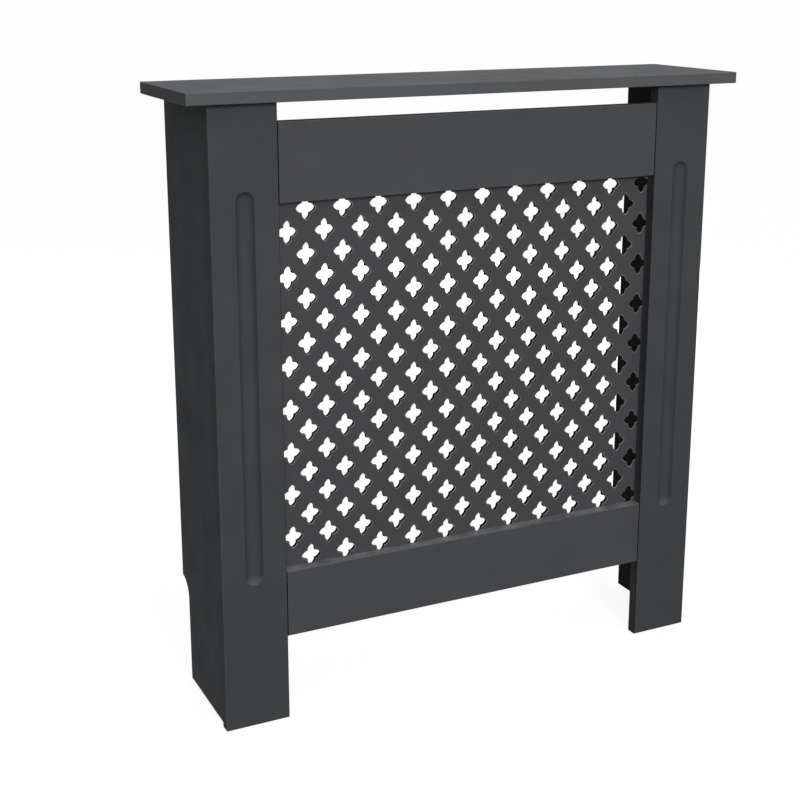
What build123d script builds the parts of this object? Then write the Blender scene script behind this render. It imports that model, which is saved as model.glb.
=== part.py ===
from build123d import *
import os

# Radiator cover cabinet: a painted board cabinet that stands over a wall radiator.
# Two side panels and two leg boards carry the top; two rails join the legs, and a
# thin pierced panel closes the front between them. The back and the base are open.
# Legs, sides and rails are glued up with loose tongues; the top is drawn down on to the
# sides by a bolt and a turning cam at each end, so that it comes off with a screwdriver.
#
# Frame: the floor is Z = 0, the middle of the cabinet is X = 0, Y = 0, the front
# faces -Y and the wall is at +Y. All sizes are in millimetres.

os.makedirs("parts", exist_ok=True)

# ---- the cabinet as a whole
top_width = 780.0
cabinet_depth = 190.0
cabinet_height = 820.0
body_width = 720.0  # across the outsides of the legs
front_overhang = 18.0  # top panel past the leg fronts
board = 15.0  # thickness of the legs, sides and rails
top_thickness = 15.0
arris = 0.8  # sanded chamfer on the exposed edges

# ---- leg boards and the long flute routed down each
leg_width = 87.0
flute_width = 24.0
flute_depth = 5.5
flute_foot = 196.0  # height of the flute's lower end
flute_head_gap = 105.0  # from its upper end to the top's underside

# ---- side panels and their cut-out for the skirting board
side_lift = 6.0  # the sides stop short of the floor
skirting_depth = 25.0
skirting_height = 150.0

# ---- rails between the legs
vent_gap = 24.0  # slot for warm air under the top
upper_rail_height = 98.0
lower_rail_foot = 116.0
lower_rail_height = 90.0

# ---- pierced panel
grille_thickness = 6.0
grille_lap = 20.0  # overlap on the backs of the legs and rails
column_pitch = 24.8
row_pitch = 28.5  # each row of holes uses every other column
pattern_shift = 3.0  # the pattern sits a little to the right
hole_width = 26.0
hole_height = 29.0
lobe_width = 11.0  # of the upper and lower lobes, where they leave the middle
lobe_height = 12.0  # of the left and right lobes there

# ---- turning cams and the bolts that they draw
cam_radius = 7.4
cam_length = 12.0
cam_bore_clearance = 0.2
cam_recess = 0.3  # the cam's face sits this far below the board
cam_setback = 24.0  # from the joint to the cam's axis
cam_hook_reach = 4.2  # half the width of the hollow that the bolt's head turns in
head_radius = 3.25
head_length = 3.0
neck_radius = 2.4
bolt_thread_length = 9.0
bolt_clearance = 0.5  # round the head, in its bore and in the cam
cam_turn = 180.0  # from locked to open
driver_slot_length = 8.0
driver_slot_width = 1.6
driver_slot_depth = 1.2

# ---- dowels, 8 mm by 30 mm
dowel_radius = 4.0
dowel_length = 30.0
dowel_in_top = 9.0  # how much of a dowel is in the top
dowel_inset = 27.0  # from the ends of the seam between the top and a side

# ---- loose tongues glued between the rails and legs and between the legs and sides
tongue_thickness = 5.0
rail_tongue_length = 28.0  # half in the rail, half in the leg
rail_tongue_margin = 18.0  # from a rail's long edges
side_tongue_in_leg = 7.0
side_tongue_in_side = 12.0
side_tongue_foot = 60.0
side_tongue_head_gap = 65.0  # from its upper end to the top's underside

# ---- wire staples that hold the pierced panel
staple_width = 10.0
staple_leg = 12.0
staple_wire = 1.2
staple_wire_thickness = 0.7
staples_along_rail = 4
staples_along_leg = 3

# ---- steel angle brackets that tie the cabinet to the wall
bracket_width = 26.0
bracket_leg = 40.0
bracket_steel = 2.0
bracket_bend = 3.0  # outer radius of the bend
wall_hole_radius = 2.75
wall_hole_inset = 14.0  # from the end of the leg on the wall
bracket_screw_inset = 14.0  # from the end of the leg on the side panel
bracket_screw_radius = 2.0
bracket_screw_head_radius = 3.8
bracket_screw_crown_radius = 2.4  # the flat end of its tapered head
bracket_screw_head_height = 2.0
bracket_screw_grip = 9.0

# ---- places that follow from the sizes above
underside = cabinet_height - top_thickness
front_y = -cabinet_depth / 2
wall_y = cabinet_depth / 2
leg_front_y = front_y + front_overhang
leg_back_y = leg_front_y + board
leg_mid_y = leg_front_y + board / 2
outer_x = body_width / 2
side_inner_x = outer_x - board
side_mid_x = outer_x - board / 2
leg_inner_x = outer_x - leg_width
leg_mid_x = outer_x - leg_width / 2
upper_rail_head = underside - vent_gap
upper_rail_foot = upper_rail_head - upper_rail_height
lower_rail_head = lower_rail_foot + lower_rail_height
opening_mid_z = (upper_rail_foot + lower_rail_head) / 2
flute_head = underside - flute_head_gap
opening_height = upper_rail_foot - lower_rail_head
# As many rows and columns as have their hole centres inside the opening.
row_count = 2 * int(opening_height / 2 / row_pitch) + 1
column_count = 2 * int(leg_inner_x / column_pitch + 0.5)
grille_foot = lower_rail_head - grille_lap
grille_head = upper_rail_foot + grille_lap
grille_half_width = leg_inner_x + grille_lap
grille_back_y = leg_back_y + grille_thickness

side_tongue_depth = side_tongue_in_leg + side_tongue_in_side
side_tongue_y = leg_back_y - side_tongue_in_leg + side_tongue_depth / 2
side_tongue_length = underside - side_tongue_head_gap - side_tongue_foot
side_tongue_z = side_tongue_foot + side_tongue_length / 2

top_cam_y = (leg_back_y + wall_y) / 2
top_dowel_ys = (leg_back_y + dowel_inset, wall_y - dowel_inset)
bolt_places = [(side * side_mid_x, top_cam_y, underside) for side in (-1, 1)]
dowel_places = [(side * side_mid_x, y, underside) for side in (-1, 1) for y in top_dowel_ys]
rails = (
    ("upper_rail", upper_rail_foot, upper_rail_height),
    ("lower_rail", lower_rail_foot, lower_rail_height),
)

cam_bore_radius = cam_radius + cam_bore_clearance
cam_bore_depth = cam_recess + cam_length + cam_bore_clearance
bolt_bore_radius = head_radius + bolt_clearance
# The bolt runs in the middle of its board, so it crosses the cam at this height.
bolt_height_in_cam = cam_recess + cam_length - board / 2
flute_radius = (flute_width**2 / 4 + flute_depth**2) / (2 * flute_depth)
bracket_mid_z = upper_rail_foot + upper_rail_height / 2
bracket_screw_y = wall_y - bracket_leg + bracket_screw_inset
wall_hole_x = side_inner_x - bracket_leg + wall_hole_inset

x_axis = Vector(1, 0, 0)
y_axis = Vector(0, 1, 0)
z_axis = Vector(0, 0, 1)
side_tongue_size = (tongue_thickness, side_tongue_depth, side_tongue_length)


def rail_tongue_size(rail_height):
    """Along the rail, through its thickness and up."""
    return rail_tongue_length, tongue_thickness, rail_height - 2 * rail_tongue_margin


def save(piece, name):
    """Label a finished piece and write it under that name."""
    piece.part.label = name
    export_step(piece.part, f"parts/{name}.step")


def mortise(place, size):
    """Take a box out of the piece in hand, for a tongue."""
    with Locations(place):
        Box(*size, mode=Mode.SUBTRACT)


def drill(places, direction, radius, depth):
    """Drill the piece in hand at each place, from its face along the direction."""
    with Locations(*[Plane(origin=place, z_dir=-direction) for place in places]):
        Hole(radius, depth)


# ---- top panel: all its edges eased, with blind holes below for bolts and dowels
with BuildPart() as top_panel:
    with BuildSketch(Plane.XY.offset(underside)):
        Rectangle(top_width, cabinet_depth)
    extrude(amount=top_thickness)
    chamfer(top_panel.edges(), arris)
    drill(bolt_places, z_axis, neck_radius, bolt_thread_length)
    drill(dowel_places, z_axis, dowel_radius, dowel_in_top)
save(top_panel, "top_panel")

# ---- side panels: a board with the skirting cut-out at the foot of its back edge
notch_y = wall_y - skirting_depth
notch_z = skirting_height - skirting_depth
for side, hand in ((-1, "left"), (1, "right")):
    outwards = x_axis * side
    with BuildPart() as side_panel:
        with BuildSketch(Plane(origin=(side * side_inner_x, 0, 0), x_dir=y_axis, z_dir=x_axis)):
            with BuildLine():
                Polyline(
                    (notch_y, notch_z),
                    (notch_y, side_lift),
                    (leg_back_y, side_lift),
                    (leg_back_y, underside),
                    (wall_y, underside),
                    (wall_y, skirting_height),
                )
                RadiusArc((wall_y, skirting_height), (notch_y, notch_z), -skirting_depth)
            make_face()
        extrude(amount=side * board)
        cam_face = (side * side_inner_x, top_cam_y, underside - cam_setback)
        drill([cam_face], outwards, cam_bore_radius, cam_bore_depth)
        drill([(side * side_mid_x, top_cam_y, underside)], -z_axis, bolt_bore_radius, cam_setback)
        dowel_holes = [(side * side_mid_x, y, underside) for y in top_dowel_ys]
        drill(dowel_holes, -z_axis, dowel_radius, dowel_length - dowel_in_top)
        bracket_pilot = (side * side_inner_x, bracket_screw_y, bracket_mid_z)
        drill([bracket_pilot], outwards, bracket_screw_radius, bracket_screw_grip)
        mortise((side * side_mid_x, side_tongue_y, side_tongue_z), side_tongue_size)
    save(side_panel, f"{hand}_side_panel")

# ---- leg boards: full-height boards with one stopped flute down the front
flute_axis_y = leg_front_y + flute_depth - flute_radius
for side, hand in ((-1, "left"), (1, "right")):
    with BuildPart() as leg_board:
        with BuildSketch():
            with Locations((side * leg_mid_x, leg_mid_y)):
                Rectangle(leg_width, board)
        extrude(amount=underside)
        chamfer(leg_board.faces().sort_by(Axis.Y)[0].edges().filter_by(Axis.Z), arris)
        # The round cutter runs down between two end points and leaves a scoop at each.
        scoop = flute_width / 2
        with BuildSketch(Plane.XY.offset(flute_foot + scoop)):
            with Locations((side * leg_mid_x, flute_axis_y)):
                Circle(flute_radius)
        extrude(amount=flute_head - flute_foot - 2 * scoop, mode=Mode.SUBTRACT)
        with Locations(
            (side * leg_mid_x, flute_axis_y, flute_foot + scoop),
            (side * leg_mid_x, flute_axis_y, flute_head - scoop),
        ):
            Sphere(flute_radius, mode=Mode.SUBTRACT)
        mortise((side * side_mid_x, side_tongue_y, side_tongue_z), side_tongue_size)
        for name, foot_z, height in rails:
            mortise((side * leg_inner_x, leg_mid_y, foot_z + height / 2), rail_tongue_size(height))
    save(leg_board, f"{hand}_leg_board")

# ---- rails: they span between the legs, flush with their fronts
for name, foot_z, height in rails:
    with BuildPart() as rail:
        with BuildSketch(Plane.XY.offset(foot_z)):
            with Locations((0, leg_mid_y)):
                Rectangle(2 * leg_inner_x, board)
        extrude(amount=height)
        chamfer(rail.faces().sort_by(Axis.Y)[0].edges(), arris)
        for side in (-1, 1):
            mortise((side * leg_inner_x, leg_mid_y, foot_z + height / 2), rail_tongue_size(height))
    save(rail, name)

with BuildPart() as rail_tongues:
    for name, foot_z, height in rails:
        middle_z = foot_z + height / 2
        with Locations((-leg_inner_x, leg_mid_y, middle_z), (leg_inner_x, leg_mid_y, middle_z)):
            Box(*rail_tongue_size(height))
save(rail_tongues, "rail_tongues")

for side, hand in ((-1, "left"), (1, "right")):
    with BuildPart() as side_tongue:
        with Locations((side * side_mid_x, side_tongue_y, side_tongue_z)):
            Box(*side_tongue_size)
    save(side_tongue, f"{hand}_side_tongue")

# ---- pierced panel: staggered four-lobed holes, each lobe drawn to a blunt point
with BuildSketch() as lobed_hole:
    with BuildLine():
        upper_half = [
            (hole_width / 2, 0),
            (lobe_width / 2, lobe_height / 2),
            (0, hole_height / 2),
            (-lobe_width / 2, lobe_height / 2),
        ]
        lower_half = [(-x, -y) for x, y in upper_half]
        Polyline(*upper_half, *lower_half, close=True)
    make_face()

hole_places = [
    (pattern_shift + (column - (column_count - 1) / 2) * column_pitch,
     (row - (row_count - 1) / 2) * row_pitch)
    for column in range(column_count)
    for row in range(row_count)
    if (column + row) % 2 == 1
]
# Sketch X runs along +X and sketch Y runs up, seen from the front.
grille_plane = Plane(origin=(0, leg_back_y, opening_mid_z), x_dir=x_axis, z_dir=-y_axis)
with BuildPart() as lattice_panel:
    with BuildSketch(grille_plane):
        Rectangle(2 * grille_half_width, grille_head - grille_foot)
        with Locations(*hole_places):
            add(lobed_hole.sketch, mode=Mode.SUBTRACT)
    extrude(amount=-grille_thickness)
save(lattice_panel, "lattice_panel")

# ---- turning cams: a drum hollowed for the bolt's head, with a slot for its neck that
# runs round as far as the cam turns, a way in for the head and a cross for a driver
head_room = head_radius + bolt_clearance
neck_room = neck_radius + bolt_clearance


def turning_cam(name, face_centre, outwards, to_joint):
    """One cam, locked: its slot ends where the bolt comes in from the joint."""
    base = Plane(face_centre - outwards * (cam_recess + cam_length), x_dir=to_joint, z_dir=outwards)
    turning_axis = Axis(base.origin, outwards)
    open_way = to_joint.rotate(Axis((0, 0, 0), outwards), -cam_turn)
    slot_plane = Plane(base.origin, x_dir=open_way, z_dir=open_way.cross(outwards))
    mid_height = base.origin + outwards * bolt_height_in_cam
    with BuildPart() as cam:
        with BuildSketch(base):
            Circle(cam_radius)
        extrude(amount=cam_length)
        with BuildSketch(base.offset(bolt_height_in_cam - head_room)):
            Rectangle(2 * cam_hook_reach, 2 * cam_hook_reach)
        extrude(amount=2 * head_room, mode=Mode.SUBTRACT)
        with BuildSketch(slot_plane):
            with Locations((cam_radius, bolt_height_in_cam)):
                Rectangle(2 * cam_radius, 2 * neck_room)
        revolve(axis=turning_axis, revolution_arc=cam_turn, mode=Mode.SUBTRACT)
        with BuildSketch(Plane(mid_height, x_dir=outwards, z_dir=to_joint)):
            Rectangle(2 * neck_room, 2 * neck_room)
        extrude(amount=2 * cam_radius, mode=Mode.SUBTRACT)
        with BuildSketch(Plane(mid_height, x_dir=outwards, z_dir=open_way)):
            Rectangle(2 * head_room, 2 * head_room)
        extrude(amount=2 * cam_radius, mode=Mode.SUBTRACT)
        with BuildSketch(base.offset(cam_length)):
            Rectangle(driver_slot_length, driver_slot_width)
            Rectangle(driver_slot_width, driver_slot_length)
        extrude(amount=-driver_slot_depth, mode=Mode.SUBTRACT)
    save(cam, name)


for side, hand in ((-1, "left"), (1, "right")):
    centre = Vector(side * side_inner_x, top_cam_y, underside - cam_setback)
    turning_cam(f"{hand}_top_cam", centre, x_axis * -side, z_axis)

# ---- cam bolts: a shank screwed into the top, and a head held in the cam
head_start = cam_setback - head_length / 2
head_end = cam_setback + head_length / 2
with BuildPart() as top_cam_bolts:
    for place in bolt_places:
        with BuildSketch(Plane(place, x_dir=x_axis, z_dir=y_axis)):
            with BuildLine():
                Polyline(
                    (0, -bolt_thread_length),
                    (neck_radius, -bolt_thread_length),
                    (neck_radius, head_start),
                    (head_radius, head_start),
                    (head_radius, head_end),
                    (0, head_end),
                    close=True,
                )
            make_face()
        revolve(axis=Axis(place, z_axis))
save(top_cam_bolts, "top_cam_bolts")

# ---- dowels between the top and the sides
with BuildPart() as top_dowels:
    with BuildSketch(Plane.XY.offset(underside + dowel_in_top)):
        with Locations(*[(x, y) for x, y, _ in dowel_places]):
            Circle(dowel_radius)
    extrude(amount=-dowel_length)
save(top_dowels, "top_dowels")

# ---- staples: bent wire, its crown on the back of the pierced panel, its two legs
# driven through it into the rails and the legs behind
rail_span = 2 * leg_inner_x
rail_staple_xs = [
    ((i + 0.5) / staples_along_rail - 0.5) * rail_span for i in range(staples_along_rail)
]
leg_staple_zs = [
    opening_mid_z + ((i + 0.5) / staples_along_leg - 0.5) * opening_height
    for i in range(staples_along_leg)
]
edge_lap = grille_lap / 2
staple_planes = [
    Plane((x, grille_back_y, z), x_dir=x_axis, z_dir=z_axis)
    for x in rail_staple_xs
    for z in (upper_rail_foot + edge_lap, lower_rail_head - edge_lap)
]
staple_planes += [
    Plane((side * (leg_inner_x + edge_lap), grille_back_y, z), x_dir=z_axis, z_dir=-x_axis)
    for side in (-1, 1)
    for z in leg_staple_zs
]
with BuildPart() as lattice_staples:
    for staple_plane in staple_planes:
        with BuildSketch(staple_plane):
            with Locations((0, staple_wire_thickness / 2)):
                Rectangle(staple_width, staple_wire_thickness)
            leg_centre = (staple_width - staple_wire_thickness) / 2
            with Locations((-leg_centre, -staple_leg / 2), (leg_centre, -staple_leg / 2)):
                Rectangle(staple_wire_thickness, staple_leg)
        extrude(amount=staple_wire / 2, both=True)
save(lattice_staples, "lattice_staples")

# ---- wall brackets: bent steel angles on the side panels, with a hole for the wall screw
# and one for the screw into the side; the upper rail hides them from the front
for side, hand in ((-1, "left"), (1, "right")):
    with BuildPart() as bracket:
        with BuildSketch(Plane.XY.offset(bracket_mid_z)):
            with BuildLine():
                FilletPolyline(
                    (side * (side_inner_x - bracket_steel / 2), wall_y - bracket_leg),
                    (side * (side_inner_x - bracket_steel / 2), wall_y - bracket_steel / 2),
                    (side * (side_inner_x - bracket_leg), wall_y - bracket_steel / 2),
                    radius=bracket_bend - bracket_steel / 2,
                )
            trace(line_width=bracket_steel)
        extrude(amount=bracket_width / 2, both=True)
        wall_hole = (side * wall_hole_x, wall_y, bracket_mid_z)
        drill([wall_hole], -y_axis, wall_hole_radius, bracket_steel)
        screw_hole = (side * side_inner_x, bracket_screw_y, bracket_mid_z)
        drill([screw_hole], x_axis * -side, bracket_screw_radius, bracket_steel)
    save(bracket, f"{hand}_wall_bracket")

with BuildPart() as bracket_screws:
    for side in (-1, 1):
        place = Vector(side * (side_inner_x - bracket_steel), bracket_screw_y, bracket_mid_z)
        with BuildSketch(Plane(place, x_dir=z_axis, z_dir=y_axis * side)):
            with BuildLine():
                grip = bracket_steel + bracket_screw_grip
                Polyline(
                    (bracket_screw_crown_radius, -bracket_screw_head_height),
                    (bracket_screw_head_radius, 0),
                    (bracket_screw_radius, 0),
                    (bracket_screw_radius, grip),
                    (0, grip),
                    (0, -bracket_screw_head_height),
                    close=True,
                )
            make_face()
        revolve(axis=Axis(place, x_axis))
save(bracket_screws, "bracket_screws")
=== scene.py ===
# %% [markdown]
# # A radiator cover cabinet
# The real object is a shallow cabinet of fibreboard, painted anthracite grey, that
# stands over a wall radiator. Its boards, cams and brackets come ready made from the
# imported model, in metres, with the floor at Z = 0 and the wall at +Y. This script
# gives them their surfaces, eases their edges, pierces the front panel with its real
# curved holes, and sets up the camera and the light.

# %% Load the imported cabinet
import math

import bmesh
import bpy
from mathutils import Matrix, Vector


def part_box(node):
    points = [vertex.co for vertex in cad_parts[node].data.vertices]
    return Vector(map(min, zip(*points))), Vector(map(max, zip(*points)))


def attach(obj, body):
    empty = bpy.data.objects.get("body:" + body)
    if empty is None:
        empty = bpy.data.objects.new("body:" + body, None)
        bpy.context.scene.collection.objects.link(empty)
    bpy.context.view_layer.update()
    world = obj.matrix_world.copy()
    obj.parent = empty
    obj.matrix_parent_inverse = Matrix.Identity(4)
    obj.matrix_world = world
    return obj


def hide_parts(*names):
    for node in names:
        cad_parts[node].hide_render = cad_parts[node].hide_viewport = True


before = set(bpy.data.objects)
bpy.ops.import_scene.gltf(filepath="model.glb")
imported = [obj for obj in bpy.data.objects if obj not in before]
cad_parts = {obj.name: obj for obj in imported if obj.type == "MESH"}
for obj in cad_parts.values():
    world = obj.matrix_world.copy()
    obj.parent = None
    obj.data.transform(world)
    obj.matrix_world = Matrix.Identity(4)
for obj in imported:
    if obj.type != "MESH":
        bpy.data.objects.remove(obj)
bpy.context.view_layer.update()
MM = 0.001

# %% [markdown]
# ## The camera
# The photograph was taken from the left and a little above the top panel. Its upright
# edges stay almost upright, as they do when a lens is shifted rather than tilted down,
# so part of the downward look is given to the lens shift and the rest to the tilt.

# %% Place the camera
IMAGE_SIDE = 800  # pixels
FOCAL_PIXELS = 1400.0
SENSOR_WIDTH = 36.0  # millimetres
LENS_SHIFT = -0.1  # of the picture's side
CAMERA_PLACE = (-0.866, -1.638, 0.955)
LOOK_RIGHT = 0.45  # radians, from straight at the front
LOOK_DOWN = 0.245
FARTHEST_SEEN = 100.0  # metres

camera_data = bpy.data.cameras.new("camera")
camera = bpy.data.objects.new("camera", camera_data)
bpy.context.scene.collection.objects.link(camera)
bpy.context.scene.camera = camera
camera_data.sensor_width = SENSOR_WIDTH
camera_data.lens = FOCAL_PIXELS * SENSOR_WIDTH / IMAGE_SIDE
camera_data.shift_y = LENS_SHIFT
camera_data.clip_end = FARTHEST_SEEN
camera.location = CAMERA_PLACE
camera.rotation_euler = (math.pi / 2 - LOOK_DOWN, 0.0, -LOOK_RIGHT)
print(f"camera: {camera_data.lens:.1f} mm lens")

# %% [markdown]
# ## Node helpers
# Every finish and every tree below is a small graph of nodes, and a few helpers keep the
# graphs short. One fills a socket: if it is given another socket it links the two, and if
# it is given a number it keeps that number on the socket itself. The others add a node
# with its inputs filled, do one step of arithmetic, mix two colours, and start or place
# a reusable group with named sockets.

# %% Helpers for node graphs
MIX_FIRST_COLOUR = 6  # a Mix node's colour sockets come after those for numbers and vectors
MIX_SECOND_COLOUR = 7
MIXED_COLOUR = 2


def feed(tree, socket, value):
    """Link a socket to another one, or give it a plain value."""
    if isinstance(value, bpy.types.NodeSocket):
        tree.links.new(value, socket)
    else:
        socket.default_value = value


def put(tree, kind, settings=None, **inputs):
    """Add a node; inputs are named after its sockets, with _ for a space."""
    node = tree.nodes.new(kind)
    for key, value in (settings or {}).items():
        setattr(node, key, value)
    for key, value in inputs.items():
        feed(tree, node.inputs[key.replace("_", " ")], value)
    return node


def calc(tree, operation, *values, clamp=False):
    """One step of arithmetic on sockets or numbers."""
    node = put(tree, "ShaderNodeMath", {"operation": operation, "use_clamp": clamp})
    for socket, value in zip(node.inputs, values):
        feed(tree, socket, value)
    return node.outputs[0]


def mix_colours(tree, factor, first, second):
    """The first colour where the factor is 0, the second where it is 1."""
    node = put(tree, "ShaderNodeMix", {"data_type": "RGBA"}, Factor=factor)
    feed(tree, node.inputs[MIX_FIRST_COLOUR], first)
    feed(tree, node.inputs[MIX_SECOND_COLOUR], second)
    return node.outputs[MIXED_COLOUR]


def start_group(name, inputs, outputs, tree_type="ShaderNodeTree"):
    """A node group with named sockets; returns its tree, its inputs and its output."""
    tree = bpy.data.node_groups.new(name, tree_type)
    for socket_name, socket_type, default in inputs:
        socket = tree.interface.new_socket(
            name=socket_name, in_out="INPUT", socket_type=socket_type)
        if default is not None:
            socket.default_value = default
    for socket_name, socket_type in outputs:
        tree.interface.new_socket(name=socket_name, in_out="OUTPUT", socket_type=socket_type)
    entry = tree.nodes.new("NodeGroupInput")
    leave = tree.nodes.new("NodeGroupOutput")
    return tree, entry.outputs, leave


def use_group(tree, group, **inputs):
    """Place a shader node group in a material."""
    return put(tree, "ShaderNodeGroup", {"node_tree": group}, **inputs).outputs


def srgb(red, green, blue):
    """A colour given as 0-255 screen values, as the shader wants it."""
    def linear(value):
        value /= 255
        return value / 12.92 if value <= 0.04045 else ((value + 0.055) / 1.055) ** 2.4
    return (linear(red), linear(green), linear(blue), 1.0)


# %% [markdown]
# ## Effects that several finishes share
# Sprayed paint on fibreboard dries with a faint orange peel, a ripple one to two
# millimetres across and some hundredths deep, over a slower unevenness where the
# film is thicker or thinner. Both are noise on the object's own coordinates, so they
# keep their real size on every board and don't stretch. A few specks of dust are caught
# in the film too: nibs, the rare high spots of a cell pattern.

# %% Group: the skin of a sprayed paint film
NIB_CELLS = 95.0  # to a metre
NIB_REACH = 0.055  # of a cell
NIB_HEIGHT = 0.6  # of the ripple's

spray_skin, entry, leave = start_group(
    "spray_skin",
    [("Coordinates", "NodeSocketVector", None), ("Ripple Size", "NodeSocketFloat", 0.0016),
     ("Drift Size", "NodeSocketFloat", 0.06)],
    [("Height", "NodeSocketFloat"), ("Drift", "NodeSocketFloat")])
ripple = put(spray_skin, "ShaderNodeTexNoise", Vector=entry["Coordinates"],
             Scale=calc(spray_skin, "DIVIDE", 1.0, entry["Ripple Size"]), Detail=1.5,
             Roughness=0.45)
drift = put(spray_skin, "ShaderNodeTexNoise", Vector=entry["Coordinates"],
            Scale=calc(spray_skin, "DIVIDE", 1.0, entry["Drift Size"]), Detail=4.0,
            Roughness=0.6)
speck = put(spray_skin, "ShaderNodeTexVoronoi", Vector=entry["Coordinates"], Scale=NIB_CELLS)
nib = calc(spray_skin, "LESS_THAN", speck.outputs["Distance"], NIB_REACH)
height = calc(spray_skin, "MULTIPLY_ADD", nib, NIB_HEIGHT, ripple.outputs["Fac"])
spray_skin.links.new(height, leave.inputs["Height"])
spray_skin.links.new(drift.outputs["Fac"], leave.inputs["Drift"])

# %% [markdown]
# Edges are where a finish ages first: the film pulls thin over an arris and every
# touch polishes it. On the paint the pale arris also stands in for the fine light line
# that an arris catches: a painted highlight. Each dressed piece below marks its eased
# edges in an attribute named "arris", 1 on the narrow facets and 0 on the broad faces,
# and more than 1 on some upward faces, which get a painted highlight. This group breaks
# that mark up with noise, because real wear comes and goes along an edge.

# %% Group: worn edges and painted highlight
arris_wear_and_highlight, entry, leave = start_group(
    "arris_wear_and_highlight",
    [("Coordinates", "NodeSocketVector", None), ("Arris", "NodeSocketFloat", 0.0),
     ("Patch Size", "NodeSocketFloat", 0.03), ("Amount", "NodeSocketFloat", 0.5)],
    [("Mask", "NodeSocketFloat")])
patches = put(arris_wear_and_highlight, "ShaderNodeTexNoise", Vector=entry["Coordinates"],
              Scale=calc(arris_wear_and_highlight, "DIVIDE", 1.0, entry["Patch Size"]), Detail=5.0,
              Roughness=0.65)
spread = put(arris_wear_and_highlight, "ShaderNodeMapRange", Value=patches.outputs["Fac"],
             From_Min=0.35, From_Max=0.65, To_Min=0.25, To_Max=1.0)
mask = calc(arris_wear_and_highlight, "MULTIPLY", entry["Arris"], spread.outputs["Result"])
mask = calc(arris_wear_and_highlight, "MULTIPLY", mask, entry["Amount"], clamp=True)
arris_wear_and_highlight.links.new(mask, leave.inputs["Mask"])

# %% [markdown]
# Bare fibreboard is pressed from fine wood fibre. Close up it is a felt of short pale
# and dark hairs, which two stretched noises laid across each other give.

# %% Group: pressed fibres
HAIRS_TO_A_LENGTH = 4.0

pressed_fibre, entry, leave = start_group(
    "pressed_fibre",
    [("Coordinates", "NodeSocketVector", None), ("Fibre Length", "NodeSocketFloat", 0.003)],
    [("Tone", "NodeSocketFloat")])
tones = []
for stretch in ((1.0, 0.25, 0.6), (0.3, 1.0, 0.5)):
    laid = put(pressed_fibre, "ShaderNodeMapping", Vector=entry["Coordinates"], Scale=stretch)
    hairs = put(pressed_fibre, "ShaderNodeTexNoise", Vector=laid.outputs["Vector"],
                Scale=calc(pressed_fibre, "DIVIDE", HAIRS_TO_A_LENGTH, entry["Fibre Length"]),
                Detail=3.0, Roughness=0.7)
    tones.append(hairs.outputs["Fac"])
tone = calc(pressed_fibre, "ADD", *tones)
tone = calc(pressed_fibre, "MULTIPLY", tone, 0.5)
pressed_fibre.links.new(tone, leave.inputs["Tone"])

# %% [markdown]
# ## The finishes
# Each material reads Object coordinates and ends in one Principled shader. What varies
# over the surface is linked; what is the same everywhere stays on the shader's socket.

# %% Helpers for finishes
def start_finish(name, **constants):
    """A material with its shader, and the coordinates that its patterns read."""
    material = bpy.data.materials.new(name)
    material.use_nodes = True
    tree = material.node_tree
    shader = tree.nodes["Principled BSDF"]
    for key, value in constants.items():
        shader.inputs[key.replace("_", " ")].default_value = value
    coordinates = put(tree, "ShaderNodeTexCoord").outputs["Object"]
    return material, tree, shader, coordinates


def read_mark(tree, mark):
    """The value that an attribute gives a face."""
    return put(tree, "ShaderNodeAttribute", {"attribute_name": mark}).outputs["Fac"]


def spread_drift(tree, drift, **ends):
    """The film's drift, stretched from its usual range to 0-1 or to other ends."""
    return put(tree, "ShaderNodeMapRange", Value=drift, From_Min=0.3, From_Max=0.7,
               **ends).outputs["Result"]


def raise_surface(tree, shader, height, distance, strength):
    """Let a height pattern tilt the shading normal."""
    bump = put(tree, "ShaderNodeBump", Height=height, Distance=distance, Strength=strength)
    tree.links.new(bump.outputs["Normal"], shader.inputs["Normal"])


# %% [markdown]
# ** Anthracite paint.** A dark neutral grey with a breath of blue, almost matt. The drift
# of the film moves its tone and its gloss a little, so that a broad board isn't one flat
# value. On an arris the paint is a shade lighter and shinier: partly wear, and partly a
# painted highlight for the light line that an arris catches. The boards get tones a shade
# apart: the top is the lightest, the legs and sides the darkest. Faces that lie in shade,
# the hole walls, the joints, the steep walls of the flutes and the inside of the sides,
# carry an attribute from 0 to 1 and are painted near black there: painted shade. One
# function makes all four finishes from their own tones: thick, thin, and the pale tone of
# wear and painted highlight. The rims of the holes get the palest, a painted highlight.

# %% Finishes: anthracite paint for the rails, the legs, the top and the pierced panel
# A pale tone on the arrises, on the ledge of the lower rail and in the lower scoops of the flutes:
# partly wear, partly painted highlight.
PAINT_WEAR_HIGHLIGHT = srgb(122, 123, 124)
# The rims of the holes: a painted highlight.
RIM_HIGHLIGHT = srgb(164, 165, 166)
# Near black: painted shade in the hole walls, the joints, the flutes and the inside of the sides.
SHADE_BLACK = srgb(5, 5, 6)
GLOSS_SWING = 0.05  # of the roughness, either way, as the film drifts
PAINT_POLISH = -0.12  # of the roughness, where it is rubbed


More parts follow.
